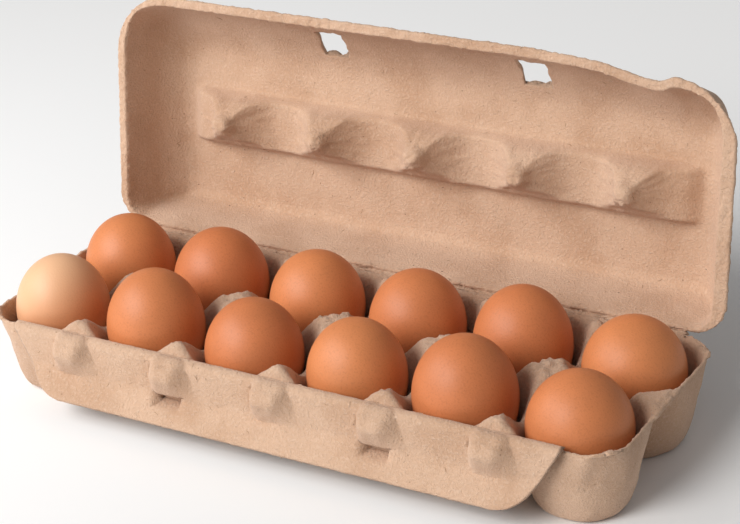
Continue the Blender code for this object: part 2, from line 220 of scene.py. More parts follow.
def round_corner(x, y, radius, x_edge, y_edge):
    """Move points of a square corner onto a corner of the given radius."""
    p = np.clip((np.abs(x) - (x_edge - radius)) / radius, 0, 1)
    q = np.clip((np.abs(y) - (y_edge - radius)) / radius, 0, 1)
    pull_x = radius * p * (1 - np.sqrt(1 - q * q / 2))
    pull_y = radius * q * (1 - np.sqrt(1 - p * p / 2))
    return x - np.sign(x) * pull_x, y - np.sign(y) * pull_y


# ---- meshes ----------------------------------------------------------------------------------------
def surface_normals(points):
    """Unit normals of a grid of points, shape (rows, columns, 3)."""
    along = np.gradient(points, axis=1)
    across = np.gradient(points, axis=0)
    normal = np.cross(along, across)
    return normal / np.maximum(np.linalg.norm(normal, axis=2, keepdims=True), 1e-12)


def border(rows, columns):
    """Point numbers round a grid's edge, counter-clockwise."""
    grid = np.arange(rows * columns).reshape(rows, columns)
    return np.concatenate((grid[0, :-1], grid[:-1, -1], grid[-1, :0:-1], grid[:0:-1, 0]))


def shell(name, points, thickness, roll=0.45):
    """A closed wall from a grid of points on one face; the other lies on the normals' side.

    The free edge is rounded: it bulges outward by roll times the thickness.
    """
    rows, columns = points.shape[:2]
    count = rows * columns
    other = points + surface_normals(points) * thickness
    face, back = points.reshape(-1, 3), other.reshape(-1, 3)
    ring = border(rows, columns)
    inner = np.array([(r + (r == 0) - (r == rows - 1)) * columns + c + (c == 0) - (c == columns - 1)
                      for r, c in zip(ring // columns, ring % columns)])
    out = face[ring] - face[inner]
    out /= np.linalg.norm(out, axis=1, keepdims=True)
    middle_ring = (face[ring] + back[ring]) / 2 + out * thickness * roll
    grid = np.arange(count).reshape(rows, columns)
    quads = np.stack((grid[:-1, :-1], grid[:-1, 1:], grid[1:, 1:], grid[1:, :-1]), -1).reshape(-1, 4)
    ends = np.arange(len(ring)) + 2 * count
    after = np.roll(ring, -1)
    ends_after = np.roll(ends, -1)
    faces = np.concatenate((quads[:, ::-1], quads + count,
                            np.stack((ring, after, ends_after, ends), -1),
                            np.stack((ends, ends_after, after + count, ring + count), -1)))
    mesh = bpy.data.meshes.new(name)
    mesh.from_pydata(np.concatenate((face, back, middle_ring)).tolist(), [], faces.tolist())
    mesh.shade_smooth()
    return mesh


def roughen(mesh, lumps):
    """Move each point along its normal by lumps(points, normals)."""
    count = len(mesh.vertices)
    points, normals = np.zeros(count * 3), np.zeros(count * 3, np.float32)
    mesh.vertices.foreach_get("co", points)
    mesh.vertex_normals.foreach_get("vector", normals)
    points, normals = points.reshape(-1, 3), normals.reshape(-1, 3).astype(float)
    moved = points + normals * lumps(points, normals)[:, None]
    mesh.vertices.foreach_set("co", moved.ravel())
    mesh.update()


def linked(name, data):
    """A new object for this mesh, lamp or camera, in the scene."""
    obj = bpy.data.objects.new(name, data)
    bpy.context.scene.collection.objects.link(obj)
    return obj


def pulp_piece(name, mesh, node):
    """The finished pulp shell that stands for this node."""
    obj = linked(name, mesh)
    mesh.materials.clear()
    mesh.materials.append(bpy.data.materials["moulded_paper_pulp"])
    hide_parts(node)
    return obj


def join(mesh, other):
    """Add the other mesh's faces to this one."""
    bm = bmesh.new()
    bm.from_mesh(mesh)
    bm.from_mesh(other)
    bm.to_mesh(mesh)
    bm.free()
    bpy.data.meshes.remove(other)
    mesh.shade_smooth()


def settled(obj):
    """The object's evaluated mesh, its modifiers taken off."""
    graph = bpy.context.evaluated_depsgraph_get()
    mesh = bpy.data.meshes.new_from_object(obj.evaluated_get(graph))
    obj.modifiers.clear()
    return mesh


def cut(mesh, cutter):
    """The mesh with the cutter taken out of it; the cutter is used up."""
    blank = linked("blank", mesh)
    hole = blank.modifiers.new("hole", "BOOLEAN")
    hole.object = cutter
    result = settled(blank)
    for obj in (blank, cutter):
        bpy.data.objects.remove(obj, do_unlink=True)
    return result


# ---- node trees ------------------------------------------------------------------------------------
def add_node(tree, kind, settings=None, **links):
    """A node with its settings; a link's name is the input's, with _ for a space or its number."""
    node = tree.nodes.new(kind)
    for key, value in (settings or {}).items():
        setattr(node, key, value)
    for key, value in links.items():
        if key[0] == "i" and key[1:].isdigit():
            socket = node.inputs[int(key[1:])]
        else:
            socket = node.inputs[key.replace("_", " ")]
        if isinstance(value, bpy.types.NodeSocket):
            tree.links.new(value, socket)
        else:
            socket.default_value = value
    return node


def mixed(tree, share, first, second, blend="MIX"):
    """Mix two colours and return the result's socket."""
    node = add_node(tree, "ShaderNodeMix", {"data_type": "RGBA", "blend_type": blend}, i0=share)
    for number, value in ((6, first), (7, second)):
        if isinstance(value, bpy.types.NodeSocket):
            tree.links.new(value, node.inputs[number])
        else:
            node.inputs[number].default_value = (*value, 1.0)
    return node.outputs[2]


def mapped(tree, value, low, high, to_low=0.0, to_high=1.0):
    """The value's smooth step from one range to another, as a socket."""
    return add_node(tree, "ShaderNodeMapRange", {"interpolation_type": "SMOOTHSTEP"}, Value=value,
                    From_Min=low, From_Max=high, To_Min=to_low, To_Max=to_high).outputs[0]


def new_material(name):
    """A material with its tree, its shader and the object's coordinates."""
    material = bpy.data.materials.new(name)
    material.use_nodes = True
    tree = material.node_tree
    coords = tree.nodes.new("ShaderNodeTexCoord").outputs["Object"]
    return material, tree, tree.nodes["Principled BSDF"], coords


def per_mm(size):
    """Noise scale whose lumps are this many millimetres across, on coordinates in metres."""
    return 1.0 / (size * MM)


BARK, DARK_BARK = linear("#8A6448"), linear("#5F3B28")
CELLULOSE, STAINED = linear("#D9BFA6"), linear("#9A7353")


def pulp_material():
    """Moulded paper pulp, air-dried on a mesh: a matt felt of short fibres, mottled where it is
    denser, paler where it stands proud, with dark bark flecks and a dusty sheen at grazing light."""
    colours = bpy.context.scene.carton_colours
    material, tree, shader, at = new_material("moulded_paper_pulp")
    cloud = add_node(tree, "ShaderNodeTexNoise", Vector=at, Scale=per_mm(26), Detail=2.0, Roughness=0.5)
    felt = add_node(tree, "ShaderNodeTexNoise", Vector=at, Scale=per_mm(1.05), Detail=3.0,
                    Roughness=0.6, Distortion=0.25)
    # Real fibres are 0.03 mm thick; the strands are drawn 0.5 mm wide so that they show.
    strands = add_node(tree, "ShaderNodeTexNoise", Vector=at, Scale=per_mm(0.7), Detail=2.0,
                       Roughness=0.6, Distortion=1.2)
    fleck = add_node(tree, "ShaderNodeTexVoronoi", {"feature": "F1"}, Vector=at, Scale=per_mm(6.5),
                     Randomness=1.0)
    stretch = add_node(tree, "ShaderNodeMapping", Vector=at, Scale=(1.0, 1.0, 2.3))
    splinter = add_node(tree, "ShaderNodeTexVoronoi", {"feature": "F1"}, Vector=stretch.outputs[0],
                        Scale=per_mm(17), Randomness=1.0)
    body = mixed(tree, mapped(tree, cloud.outputs[0], 0.30, 0.60, 0.35, 1.0), list(colours.pulp_deep),
                 list(colours.pulp))
    body = mixed(tree, mapped(tree, felt.outputs[0], 0.45, 0.78, 0.0, 0.45), body,
                 list(colours.pulp_pale))
    body = mixed(tree, mapped(tree, strands.outputs[0], 0.62, 0.30, 0.0, 0.30), body,
                 list(colours.pulp_deep))
    body = mixed(tree, mapped(tree, fleck.outputs[0], 0.075, 0.035, 0.0, 0.6), body, BARK)
    body = mixed(tree, mapped(tree, splinter.outputs[0], 0.034, 0.016, 0.0, 0.8), body, DARK_BARK)
    tree.links.new(body, shader.inputs["Base Color"])
    shader.inputs["Roughness"].default_value = 0.93
    shader.inputs["Specular IOR Level"].default_value = 0.25
    shader.inputs["Sheen Weight"].default_value = 0.18
    shader.inputs["Sheen Roughness"].default_value = 0.6
    lumps = add_node(tree, "ShaderNodeBump", Height=felt.outputs[0], Strength=1.0,
                     Distance=0.55 * MM)
    fuzz = add_node(tree, "ShaderNodeBump", Height=strands.outputs[0], Strength=0.9,
                    Distance=0.5 * MM, Normal=lumps.outputs[0])
    tree.links.new(fuzz.outputs[0], shader.inputs["Normal"])
    return material


def fibre_material():
    """Single paper fibres that stand off the pulp: pale, translucent cellulose, some of it bark."""
    material, tree, shader, at = new_material("loose_pulp_fibre")
    patch = add_node(tree, "ShaderNodeTexNoise", Vector=at, Scale=per_mm(5), Detail=1.0)
    coat = mixed(tree, mapped(tree, patch.outputs[0], 0.50, 0.68), CELLULOSE, STAINED)
    tree.links.new(coat, shader.inputs["Base Color"])
    shader.inputs["Roughness"].default_value = 0.9
    shader.inputs["Specular IOR Level"].default_value = 0.2
    return material


def shell_material(name, pale, tint):
    """Brown eggshell: chalky calcite under a thin bloom, so satin and not glossy, with pores
    0.1 to 0.3 mm across drawn 0.6 mm apart, and brown pigment that clouds and speckles.
    With pale set, a painted highlight lightens the upper left side, where the light falls."""
    colours = bpy.context.scene.carton_colours
    material, tree, shader, at = new_material(name)
    base = [c * t for c, t in zip(colours.shell, tint)]
    pore = add_node(tree, "ShaderNodeTexVoronoi", {"feature": "F1"}, Vector=at, Scale=per_mm(0.95))
    cloud = add_node(tree, "ShaderNodeTexNoise", Vector=at, Scale=per_mm(14), Detail=3.0)
    speck = add_node(tree, "ShaderNodeTexNoise", Vector=at, Scale=per_mm(0.8), Detail=2.0)
    coat = mixed(tree, mapped(tree, cloud.outputs[0], 0.35, 0.7, 0.0, 0.35), base,
                 [min(1.0, c * 1.22) for c in base])
    coat = mixed(tree, mapped(tree, speck.outputs[0], 0.50, 0.70, 0.0, 0.30), coat,
                 [c * 0.72 for c in base])
    coat = mixed(tree, mapped(tree, pore.outputs[0], 0.32, 0.10, 0.0, 0.16), coat,
                 [c * 0.6 for c in base])
    if pale:    # painted highlight: the first front egg is paler on its upper left side, where the key light falls
        across = add_node(tree, "ShaderNodeVectorMath", {"operation": "DOT_PRODUCT"}, i0=at,
                          i1=(-0.6, 0.0, 0.8))
        coat = mixed(tree, mapped(tree, across.outputs["Value"], 86 * MM, 121 * MM, 0.12, 0.95), coat,
                     list(colours.shell_painted_highlight))
    tree.links.new(coat, shader.inputs["Base Color"])
    shader.inputs["Roughness"].default_value = 0.48
    shader.inputs["Specular IOR Level"].default_value = 0.4
    dimples = add_node(tree, "ShaderNodeBump", Height=pore.outputs[0], Strength=0.22,
                       Distance=0.12 * MM)
    skin = add_node(tree, "ShaderNodeBump", Height=speck.outputs[0], Strength=0.35,
                    Distance=0.15 * MM, Normal=dimples.outputs[0])
    tree.links.new(skin.outputs[0], shader.inputs["Normal"])
    return material


# ---- tray ------------------------------------------------------------------------------------------
POT_CURVE = ((0.0, 0.0), (0.27, 0.07), (0.53, 0.31), (0.80, 0.80), (1.0, 1.0))
RIM_CURVE = ((0.0, 0.0), (0.30, 0.05), (0.60, 0.25), (0.89, 0.64), (1.0, 1.0))
POST_CURVE = ((0.0, 0.0), (0.5, 0.6), (1.0, 1.0))
POST_SPREAD = 5.0 * MM       # wall above the saddle to the post's top, in plan
TOP_ROUNDING = 0.9 * MM      # of the edges at the posts' tops
CORNER_POWER = 2.8           # squareness of the outer pots' outer corners
PEAK_SETBACK, PEAK_SLOPE = 1.7 * MM, 1.8       # front peaks: foot from the edge, rise per length
END_SHELF, END_SHELF_SLOPE, END_SHELF_RISE = 14 * MM, 0.5, 1.2 * MM   # low land at the ends
BACK_SHELF, BACK_SHELF_SLOPE = 6 * MM, 0.3     # low land along the hinge
FRONT_CORNER, BACK_CORNER = 15 * MM, 17 * MM   # corner radii in plan


def pot_height(reach):
    """Height of the tray's underside at this distance from a pot's axis."""
    half = PITCH / 2
    wall = SADDLE * ease(POT_CURVE, (reach - FOOT_RADIUS) / (half - FOOT_RADIUS))
    post = (POST_TOP - PULP - SADDLE) * ease(POST_CURVE, (reach - half) / POST_SPREAD)
    return np.where(reach <= half, wall, SADDLE + post)


def outer_reach(offset, edge):
    """The distance at which pot_height gives the tray's outer wall, which ends at edge."""
    rim = RIM_HEIGHT - PULP
    height = rim * ease(RIM_CURVE, (np.abs(offset) - FOOT_RADIUS) / (edge - FOOT_RADIUS))
    reaches = np.linspace(FOOT_RADIUS, PITCH / 2 + POST_SPREAD, 200)
    found = np.interp(height, pot_height(reaches), reaches)
    return np.where(np.abs(offset) <= FOOT_RADIUS, np.abs(offset), found)


def tray_points(x, y):
    """Points of the tray's underside over a square grid in plan."""
    rim = RIM_HEIGHT - PULP
    pot_x = POT_X[np.abs(x[..., None] - POT_X).argmin(-1)]
    side = np.where(y < CENTRE_Y, -1.0, 1.0)
    pot_y = CENTRE_Y + side * ROW_PITCH / 2
    dx, dy = x - pot_x, y - pot_y
    at_end = (np.abs(pot_x) > POT_X[-1] - MM) & (dx * pot_x > 0)
    to_edge = dy * side > 0
    reach_x = np.where(at_end, outer_reach(dx, TRAY_HALF - POT_X[-1]), np.abs(dx))
    wall_y = np.where(side > 0, outer_reach(dy, LAND_Y - CENTRE_Y - ROW_PITCH / 2),
                      outer_reach(dy, CENTRE_Y - TRAY_FRONT - ROW_PITCH / 2))
    reach_y = np.where(to_edge, wall_y, np.abs(dy) * PITCH / ROW_PITCH)
    power = np.where(at_end & to_edge, CORNER_POWER, 2.0)
    reach = (reach_x ** power + reach_y ** power) ** (1 / power)
    to_front = y - TRAY_FRONT
    to_back = LAND_Y - y
    to_end = TRAY_HALF - np.abs(x)
    cap = rim + np.clip(PEAK_SLOPE * (to_front - PEAK_SETBACK), 0, POST_TOP - RIM_HEIGHT)
    end_shelf = rim + np.clip(END_SHELF_SLOPE * to_end, 0, END_SHELF_RISE)
    back_shelf = rim + BACK_SHELF_SLOPE * np.maximum(to_back, 0)
    cap = np.where(to_end < END_SHELF, np.minimum(cap, end_shelf), cap)
    cap = np.where(to_back < BACK_SHELF, np.minimum(cap, back_shelf), cap)
    z = soft_min(pot_height(reach), cap, TOP_ROUNDING)
    z = np.where(y > LAND_Y, rim, z)
    yc = y - CENTRE_Y
    front_x, front_y = round_corner(x, yc, FRONT_CORNER, TRAY_HALF, CENTRE_Y - TRAY_FRONT)
    back_x, back_y = round_corner(x, yc, BACK_CORNER, TRAY_HALF, TRAY_BACK - CENTRE_Y)
    return np.stack((np.where(yc < 0, front_x, back_x),
                     CENTRE_Y + np.where(yc < 0, front_y, back_y), z), -1)


def tray_lumps(points, normals):
    """Fine lumps all over, coarser on the posts' tops and along the torn outer edge.

    The end walls also have streaks from top to bottom, drawn as the moulding left its die.
    """
    sizes = bpy.context.scene.carton_sizes
    x, y, z = points.T
    edge = np.minimum.reduce((TRAY_HALF - np.abs(x), y - TRAY_FRONT, TRAY_BACK - y))
    rim = (1 - ramp(0.5 * MM, 5 * MM, edge)) * ramp(RIM_HEIGHT - 5 * MM, RIM_HEIGHT, z)
    top = ramp(RIM_HEIGHT + 1.5 * MM, POST_TOP, z)
    fine = lumpy(points, 3.2 * MM, 1.5 * MM, 0.6, 1)
    coarse = lumpy(points, 2.4 * MM, 1.25 * MM, 0.7, 3)
    floor = ramp(2.5 * MM, 8 * MM, z)
    inner = ramp(8 * MM, 16 * MM, edge)
    top = top * (1.3 + 1.3 * inner)
    drawn = grain(points * (1.0, 1.0, 0.12), 1.6 * MM, 14) * ramp(POT_X[-1], TRAY_HALF, np.abs(x))
    fine = fine + 0.7 * drawn * ramp(RIM_HEIGHT - 3 * MM, RIM_HEIGHT - 9 * MM, z)
    return sizes.fuzz * fine * (0.25 + 0.75 * floor) + sizes.rim_fuzz * coarse * np.maximum(rim, top)


class CARTON_OT_tray(bpy.types.Operator):
    """Make the tray: two rows of pots with feet, posts between them and the land at the hinge"""
    bl_idname = "carton.tray"
    bl_label = "Tray"

    def execute(self, context):
        pitch = context.scene.carton_sizes.grid
        fine, end, side = 0.5 * pitch, 8 * MM, 7 * MM      # finer this near to the edges
        xs = spaced(-TRAY_HALF, TRAY_HALF, pitch,
                    ((-TRAY_HALF, -TRAY_HALF + end, fine), (TRAY_HALF - end, TRAY_HALF, fine)))
        ys = spaced(TRAY_FRONT, TRAY_BACK, pitch,
                    ((TRAY_FRONT, TRAY_FRONT + side, fine), (LAND_Y - side, TRAY_BACK, fine)))
        points = tray_points(*np.meshgrid(xs, ys))
        mesh = shell("tray_shell", points, PULP)
        roughen(mesh, tray_lumps)
        tray = pulp_piece("tray_shell", mesh, "tray")
        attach(tray, "tray")
        return {"FINISHED"}


# ---- lid -------------------------------------------------------------------------------------------
LID_END_CURVE = ((0.0, 0.0), (3.2, 0.32), (6.5, 0.64), (11.0, 0.85), (15.0, 0.96), (19.0, 1.0))
LID_FRONT_CURVE = ((0.0, 0.0), (2.2, 0.35), (6.1, 0.57), (12.0, 0.76), (18.0, 0.90), (24.0, 0.98),
                   (29.0, 1.0))
LID_BACK_CURVE = ((0.0, 0.0), (2.2, 0.35), (4.4, 0.78), (6.6, 0.95), (10.0, 1.0))
LID_SAG = ((60.0, 0.0), (88.0, 1.6), (104.0, 4.8), (114.0, 6.0), (122.0, 3.6), (132.0, 3.6),
           (149.0, 4.2))     # front edge's dip along its right half, both in millimetres
RIDGE_CURVE = ((-13.5, 0.0), (-9.5, 0.2), (-5.0, 0.88), (-3.0, 1.0), (3.0, 1.0), (13.5, 0.0))
LID_FLANGE = 3.4 * MM        # rolled rim
FLANGE_GROWTH = 1.8 * MM     # and how much wider it is at the right end
EDGE_POWER = 2.4             # roundness where two walls of the lid meet
LID_FRONT_CORNER, LID_BACK_CORNER = 27 * MM, 13 * MM
BAND_OVERHANG = 0.58         # band past the last knob, in pot pitches
BAND_SLOPE, BAND_END_SLOPE = 3.5 * MM, 9 * MM  # its sloping sides and ends, in plan
BOWL_POWER = 2.3             # hollowing between two knobs
END_BOWL = 14 * MM           # flank past the last knob
DOME_RISE, DOME_RADIUS = 4.2 * MM, 5.2 * MM    # crumbly dome on each knob
LINE_RISE, LINE_WIDTH = 0.5 * MM, 1.2 * MM     # thin line pressed along the band's top
# The lid's own axes: V from the hinge to the front edge, W into the lid from its rim.
V_AXIS = np.array((0.0, math.sin(LID_LEAN), math.cos(LID_LEAN)))
W_AXIS = np.array((0.0, math.cos(LID_LEAN), -math.sin(LID_LEAN)))
HINGE = np.array((0.0, HINGE_Y, HINGE_Z))


def scaled(points, scale):
    """The curve's points with t times scale."""
    return tuple((a * scale, b) for a, b in points)


def relief(x, v):
    """Height of the pressed band and its five knobs over the lid's panel."""
    band_end = POST_X[-1] + BAND_OVERHANG * PITCH
    low, high = KNOB_V - BAND_BELOW, KNOB_V + BAND_ABOVE
    band = (ramp(low, low + BAND_SLOPE, v) * (1 - ramp(high - BAND_SLOPE, high, v))
            * (1 - ramp(band_end - BAND_END_SLOPE, band_end, np.abs(x))))
    rise = KNOB_RISE - BAND_RISE
    ridge = rise * ease(RIDGE_CURVE, (v - KNOB_V) / MM)
    from_pot = np.abs(x[..., None] - POT_X).min(-1)
    bowl = rise * (from_pot / (PITCH / 2 - KNOB_RADIUS)) ** BOWL_POWER
    bowl = np.where(np.abs(x) > POT_X[-1], rise, bowl)
    end_post = np.maximum(np.abs(x) - POST_X[-1] - KNOB_RADIUS, 0)
    bowl = soft_min(bowl, rise * (1.15 - end_post / END_BOWL), MM)
    fan = soft_max(soft_min(ridge, bowl, 0.9 * MM), 0.0 * x, 0.6 * MM)
    near = POST_X[np.abs(x[..., None] - POST_X).argmin(-1)]
    reach = np.hypot(x - near, v - KNOB_V - 0.5 * MM)
    dome = DOME_RISE * np.sqrt(np.clip(1 - (reach / DOME_RADIUS) ** 2, 0, 1))
    line = LINE_RISE * np.exp(-((v - high + 1.5 * MM) / LINE_WIDTH) ** 2)
    return band * (BAND_RISE + fan) + line * (np.abs(x) < band_end - 6 * MM) + dome


def lid_points(x, v):
    """Points of the lid's inner face; v runs from the hinge line to the front edge."""
    flange = LID_FLANGE + FLANGE_GROWTH * ramp(110 * MM, 145 * MM, x)
    end = 1 - ease(scaled(LID_END_CURVE, MM), LID_HALF - flange - np.abs(x))
    front = 1 - ease(scaled(LID_FRONT_CURVE, MM), LID_WIDTH - LID_FLANGE - v)
    back = 1 - ease(scaled(LID_BACK_CURVE, MM), v - 2 * HINGE_GAP)
    short = (end ** EDGE_POWER + front ** EDGE_POWER + back ** EDGE_POWER) ** (1 / EDGE_POWER)
    depth = LID_DEPTH * np.maximum(1 - short, 0) - relief(x, v)
    depth = np.where(v < 2 * HINGE_GAP, 0.0, depth)
    centre = (LID_WIDTH + HINGE_GAP) / 2
    half = (LID_WIDTH - HINGE_GAP) / 2
    front_x, front_v = round_corner(x, v - centre, LID_FRONT_CORNER, LID_HALF, half)
    back_x, back_v = round_corner(x, v - centre, LID_BACK_CORNER, LID_HALF, half)
    x = np.where(v > centre, front_x, back_x)
    v = centre + np.where(v > centre, front_v, back_v)
    sag = ease(LID_SAG, x / MM) * MM
    v = v - sag * ramp(0.62 * LID_WIDTH, LID_WIDTH, v)
    return (HINGE + x[..., None] * np.array((1.0, 0, 0)) + v[..., None] * V_AXIS
            + depth[..., None] * W_AXIS)


def lid_lumps(points, normals):
    """Fine lumps, torn lumps along the rim, and fibres pulled outward from each knob."""
    sizes = bpy.context.scene.carton_sizes
    at = points - HINGE
    x, v, w = at[:, 0], at @ V_AXIS, at @ W_AXIS
    rim = 1 - ramp(1.0 * MM, 5.0 * MM, w)
    near = POST_X[np.abs(x[:, None] - POST_X).argmin(1)]
    dx, dv = x - near, v - KNOB_V
    reach = np.hypot(dx, dv)
    spokes = np.stack((np.arctan2(dv, dx) * 7.0, reach / (7.0 * MM), near / PITCH), 1)
    pulled = ramp(2 * MM, 5 * MM, reach) * (1 - ramp(14 * MM, 24 * MM, reach))
    knob = 1 - ramp(3.0 * MM, 6.5 * MM, reach)
    inside = (w < LID_DEPTH - 6 * MM).astype(float)
    fine = lumpy(points, 3.4 * MM, 1.5 * MM, 0.6, 5)
    coarse = lumpy(points, 2.6 * MM, 1.2 * MM, 0.8, 7)
    return (sizes.fuzz * fine + sizes.rim_fuzz * coarse * np.maximum(0.65 * rim, 1.6 * knob * inside)
            + 0.6 * MM * grain(spokes, 1.0, 9) * pulled * inside)


# Across the crease, in millimetres: the distance along the pulp, and Y and Z from the hinge line.
CREASE_WAY = ((-3.6, -3.2, -0.66), (-2.6, -2.2, -0.60), (-1.6, -1.25, -0.55),
              (-0.8, -0.55, -0.42), (-0.2, -0.18, -0.05), (0.6, 0.02, 0.55), (1.8, 0.22, 1.7))
CREASE_WALL = 1.1 * MM
TORN_LINES = ((-1.7, 0.5), (0.5, 0.45))    # where the two torn lines run, and their half widths
TORN_DEPTH = (2.4, 0.5)                    # deepest tears, and the line between them
WANDER = (0.006, 7.0)                      # of the strip's grid sideways, so that no row shows


def lid_crease():
    """The worn crease from the tray's land up to the lid's edge, as a strip of its own."""
    pitch = 0.35 * MM
    xs = np.arange(-HINGE_HALF, HINGE_HALF, 2.4 * pitch)
    ss = np.arange(CREASE_WAY[0][0], CREASE_WAY[-1][0], pitch / MM)
    x, s = np.meshgrid(xs, ss)
    x = x * (1 + WANDER[0] * np.sin(WANDER[1] * s))
    places = np.stack((x, 0.6 * s * MM, 0 * x), -1).reshape(-1, 3)
    torn = np.clip(lumpy(places, 6 * MM, 2.2 * MM, 0.5, 31), 0, 1).reshape(x.shape)
    lines = sum(np.exp(-((s - at) / half) ** 2) for at, half in TORN_LINES)
    sunk = (TORN_DEPTH[0] * torn + TORN_DEPTH[1]) * MM * lines
    y = ease([(a, b) for a, b, _ in CREASE_WAY], s) * MM + sunk * 0.6
    z = ease([(a, c) for a, _, c in CREASE_WAY], s) * MM - sunk
    return HINGE + np.stack((x, y, z), -1)


HOLE_SIZE = (13.0 * MM, 9.8 * MM)    # latch hole, along the carton and into the lid
HOLE_MIDDLE = 20.8 * MM              # its middle, below the rim
HOLE_SHIFT = 1.5 * MM                # to the right of its post
CUTTER_LENGTH = 40 * MM              # through the lid's front wall
RAGGED = 1.2 * MM                    # unevenness of the hole's edges
RAGGED_SEED = 1                      # without one, the noise's vector changes from run to run


def latch_cutter(x, seed):
    """A ragged block for one latch hole."""
    noise.seed_set(RAGGED_SEED)
    bm = bmesh.new()
    bmesh.ops.create_cube(bm, size=1.0)
    bmesh.ops.subdivide_edges(bm, edges=bm.edges, cuts=7, use_grid_fill=True)
    width, tall = HOLE_SIZE
    for vert in bm.verts:
        co = vert.co.copy()
        wild = noise.noise_vector(Vector((co.x * 4, co.z * 4, seed))) * RAGGED
        place = Vector((x + HOLE_SHIFT + co.x * width + wild.x, 0, 0))
        place += Vector(HINGE) + Vector(V_AXIS) * (LID_INNER + co.y * CUTTER_LENGTH)
        place += Vector(W_AXIS) * (HOLE_MIDDLE + co.z * tall + wild.y)
        vert.co = place
    bm.normal_update()
    bmesh.ops.recalc_face_normals(bm, faces=bm.faces)
    mesh = bpy.data.meshes.new("latch_cutter")
    bm.to_mesh(mesh)
    bm.free()
    return linked("latch_cutter", mesh)


def crease_lumps(points, normals):
    """Torn fibres along the crease."""
    rough = lumpy(points, 1.6 * MM, 0.8 * MM, 0.8, 21)
    return 0.6 * MM * rough * ramp(3.4 * MM, 1.6 * MM, HINGE_Y - points[:, 1])


class CARTON_OT_lid(bpy.types.Operator):
    """Make the lid: rolled rim, soft shoulders, the pressed band with its knobs and the latch holes"""
    bl_idname = "carton.lid"
    bl_label = "Lid"

    def execute(self, context):
        pitch = context.scene.carton_sizes.grid
        fine, end, back, front = 0.5 * pitch, 20 * MM, 12 * MM, 10 * MM
        xs = spaced(-LID_HALF, LID_HALF, 0.9 * pitch,
                    ((-LID_HALF, -LID_HALF + end, fine), (LID_HALF - end, LID_HALF, fine)))
        vs = spaced(HINGE_GAP, LID_WIDTH, 1.15 * pitch,
                    ((0.0, back, fine), (KNOB_V - BAND_BELOW, KNOB_V + BAND_ABOVE, 0.7 * pitch),
                     (LID_INNER - front, LID_WIDTH, fine)))
        mesh = shell("lid_shell", lid_points(*np.meshgrid(xs, vs))[::-1], PULP)
        roughen(mesh, lid_lumps)
        for x, seed in ((POST_X[1], 3.0), (POST_X[-2], 8.0)):
            mesh = cut(mesh, latch_cutter(x, seed))
        crease = shell("lid_crease", lid_crease()[::-1], CREASE_WALL)
        roughen(crease, crease_lumps)
        join(mesh, crease)
        lid = pulp_piece("lid_shell", mesh, "lid")
        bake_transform(lid)
        return {"FINISHED"}


# ---- front flap ------------------------------------------------------------------------------------
FLAP_UPPER, FLAP_LOWER = 15.0 * MM, 13.5 * MM
FLAP_HANG, FLAP_BEND = math.radians(4.0), math.radians(28.0)
FLAP_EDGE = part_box("front_flap")[1][0] + 0.4 * MM
FLAP_CORNER = 9.0 * MM
FLAP_TAPER = 0.58            # narrowing of each side per length
FLAP_STILL = 8 * MM          # narrowing starts this far inside the last wedge's middle
FLAP_LIP = 2.4 * MM          # flap's root on top of the tray's front edge
LIP_DIP = 1.2 * MM           # and how far its end goes under the tray's surface
FOLD_SPAN = (-1.2 * MM, 2.0 * MM)    # the fold's round, from start to end
BEND_HALF = 2.5 * MM         # half of the bend's round
SKIN = 0.2 * MM              # flap's face, proud of the tray's edge
# Along the flap, in millimetres, with shares of the height or half widths in millimetres.
WEDGE_RISE = 5.8 * MM
WEDGE_CURVE = ((-0.5, 2.5, 6.0, 16.0), (0.0, 0.8, 1.0, 0.0))
WEDGE_ENDS = (0.0, 16.0)
RIGHT_FOOT, RIGHT_CREST = (8.0, 15.0), (6.0, 1.0)
LEFT_FOOT, LEFT_CREST = (6.5, 9.0), 4.5
BUTTON_DEPTH = 5.6 * MM
BUTTON_CURVE = ((13.8, 14.8, 17.4, 22.0), (0.0, 1.0, 0.95, 0.0))
BUTTON_SIDE = (6.0 * MM, 7.2 * MM)


def flap_half(s):
    """Half width of the flap at a distance s from the fold."""
    low = np.clip(s - (FLAP_UPPER + FLAP_LOWER - FLAP_CORNER), 0, FLAP_CORNER)
    return (FLAP_EDGE - FLAP_TAPER * np.maximum(s, 0) - FLAP_CORNER
            + np.sqrt(FLAP_CORNER ** 2 - low ** 2))


